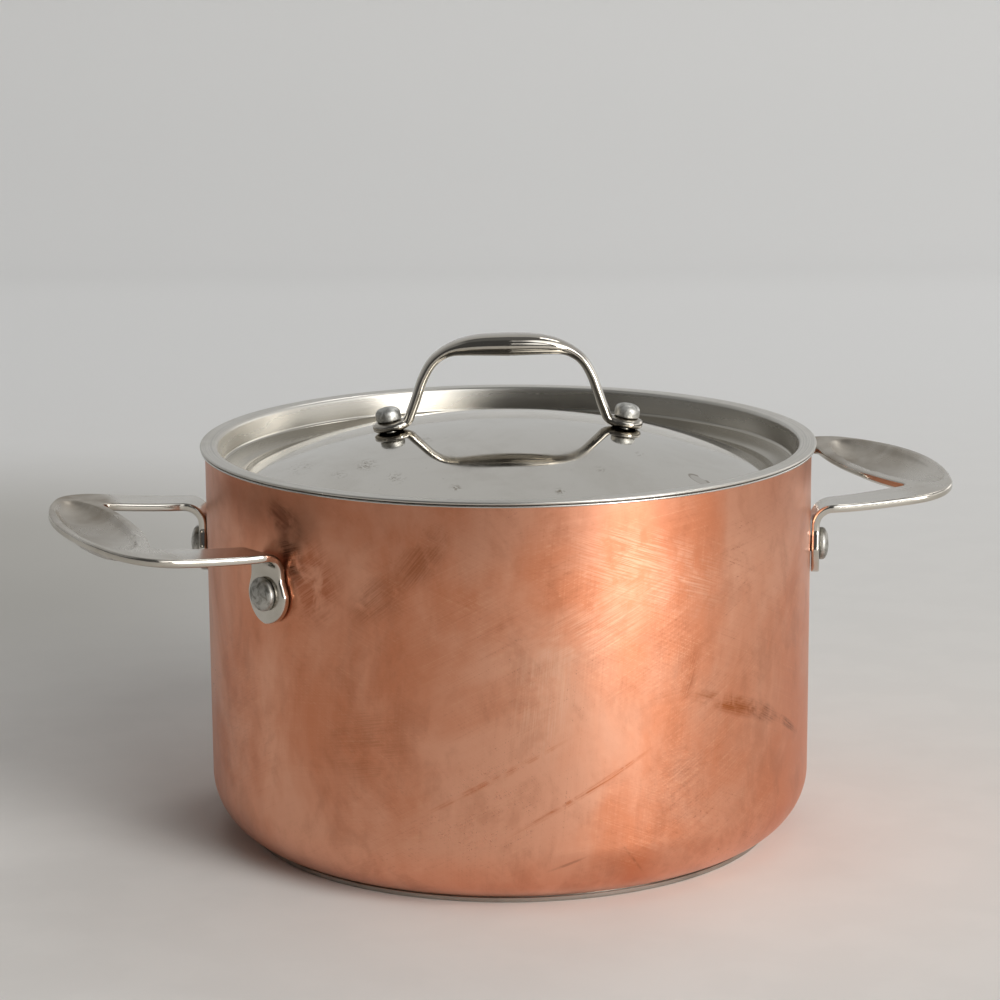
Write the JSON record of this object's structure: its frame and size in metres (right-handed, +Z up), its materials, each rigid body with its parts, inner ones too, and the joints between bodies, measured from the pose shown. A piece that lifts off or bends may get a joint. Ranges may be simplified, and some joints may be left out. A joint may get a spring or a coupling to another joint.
{
  "type": "two-handled saucepan with lid",
  "caption": "Straight-sided copper pot with a steel lining, riveted stamped side handles and a lift-off recessed steel lid with an arched, riveted handle.",
  "frame": {"origin": "middle of the pot's underside, where it rests", "axes": "+Z up along the pot's axis, +X out through the middle of the right handle, +Y to the back"},
  "size_m": [0.366, 0.2438, 0.1989],
  "materials": {
    "copper": null,
    "brushed_steel": "satin stainless steel",
    "polished_steel": "polished stainless steel",
    "dull_rivet": "dull, lightly pitted steel"
  },
  "bodies": {
    "pot": {"copper_shell": "copper", "steel_lining": "brushed_steel", "base_plate": "brushed_steel", "left_handle": "polished_steel", "right_handle": "polished_steel", "left_front_rivet": "dull_rivet", "left_back_rivet": "dull_rivet", "right_front_rivet": "dull_rivet", "right_back_rivet": "dull_rivet"},
    "lid_body": {"lid": "brushed_steel", "lid_handle": "polished_steel", "lid_left_rivet": "dull_rivet", "lid_right_rivet": "dull_rivet"}
  },
  "joints": [
    {"name": "lid_lift", "type": "slide", "parent": "pot", "child": "lid_body", "axis": [0, 0, 1], "range_m": [0, 0.15]}
  ]
}
